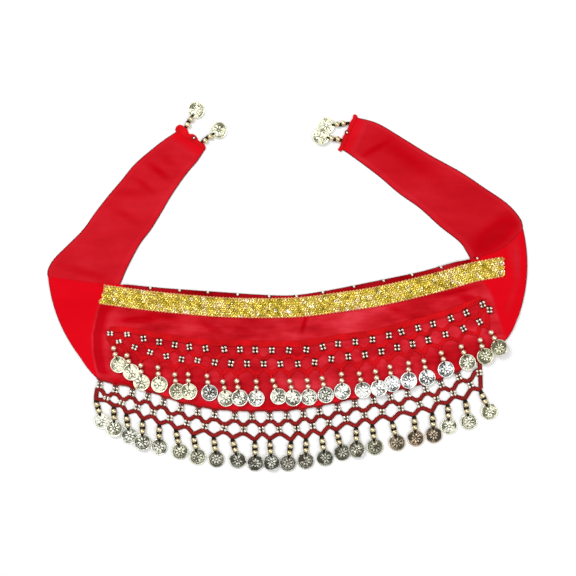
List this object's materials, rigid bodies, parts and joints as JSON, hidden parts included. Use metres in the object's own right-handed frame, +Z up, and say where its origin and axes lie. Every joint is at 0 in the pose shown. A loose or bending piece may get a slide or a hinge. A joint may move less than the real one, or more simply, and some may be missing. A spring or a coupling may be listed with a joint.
{
  "type": "pet sequin hip scarf",
  "caption": "Pet belly-dance hip scarf laid flat: red chiffon band with folded-back straps, gold sequin trim, crocheted bead nets and hanging coins.",
  "frame": {"origin": "on the table under the middle of the laid-out scarf", "axes": "+X along the panel towards the right strap's fold, +Y from the panel up to the strap ends, +Z up off the table"},
  "size_m": [0.4787, 0.3693, 0.0089],
  "materials": {
    "chiffon": "matt crimson chiffon, fine weave",
    "sequins": "gold sequins with a peach thread edge",
    "cord": "crocheted red cord with small bead clusters",
    "coin_metal": "stamped thin coins, silver to pale gold, with gold beads"
  },
  "bodies": {
    "root": {"scarf_panel": "chiffon", "strap_left": "chiffon", "strap_right": "chiffon", "sequin_trim": "sequins", "net_upper": "cord", "net_lower": "cord", "edging_left": "cord", "edging_right": "cord", "coin_upper_01": "coin_metal", "coin_upper_02": "coin_metal", "coin_upper_03": "coin_metal", "coin_upper_04": "coin_metal", "coin_upper_05": "coin_metal", "coin_upper_06": "coin_metal", "coin_upper_07": "coin_metal", "coin_upper_08": "coin_metal", "coin_upper_09": "coin_metal", "coin_upper_10": "coin_metal", "coin_upper_11": "coin_metal", "coin_upper_12": "coin_metal", "coin_upper_13": "coin_metal", "coin_upper_14": "coin_metal", "coin_upper_15": "coin_metal", "coin_upper_16": "coin_metal", "coin_upper_17": "coin_metal", "coin_upper_18": "coin_metal", "coin_upper_19": "coin_metal", "coin_upper_20": "coin_metal", "coin_upper_21": "coin_metal", "coin_upper_22": "coin_metal", "coin_upper_23": "coin_metal", "coin_upper_24": "coin_metal", "coin_lower_01": "coin_metal", "coin_lower_02": "coin_metal", "coin_lower_03": "coin_metal", "coin_lower_04": "coin_metal", "coin_lower_05": "coin_metal", "coin_lower_06": "coin_metal", "coin_lower_07": "coin_metal", "coin_lower_08": "coin_metal", "coin_lower_09": "coin_metal", "coin_lower_10": "coin_metal", "coin_lower_11": "coin_metal", "coin_lower_12": "coin_metal", "coin_lower_13": "coin_metal", "coin_lower_14": "coin_metal", "coin_lower_15": "coin_metal", "coin_lower_16": "coin_metal", "coin_lower_17": "coin_metal", "coin_lower_18": "coin_metal", "coin_lower_19": "coin_metal", "coin_lower_20": "coin_metal", "coin_lower_21": "coin_metal", "coin_lower_22": "coin_metal", "coin_lower_23": "coin_metal", "coin_left_1": "coin_metal", "coin_left_2": "coin_metal", "coin_right_1": "coin_metal", "coin_right_2": "coin_metal"}
  },
  "joints": []
}
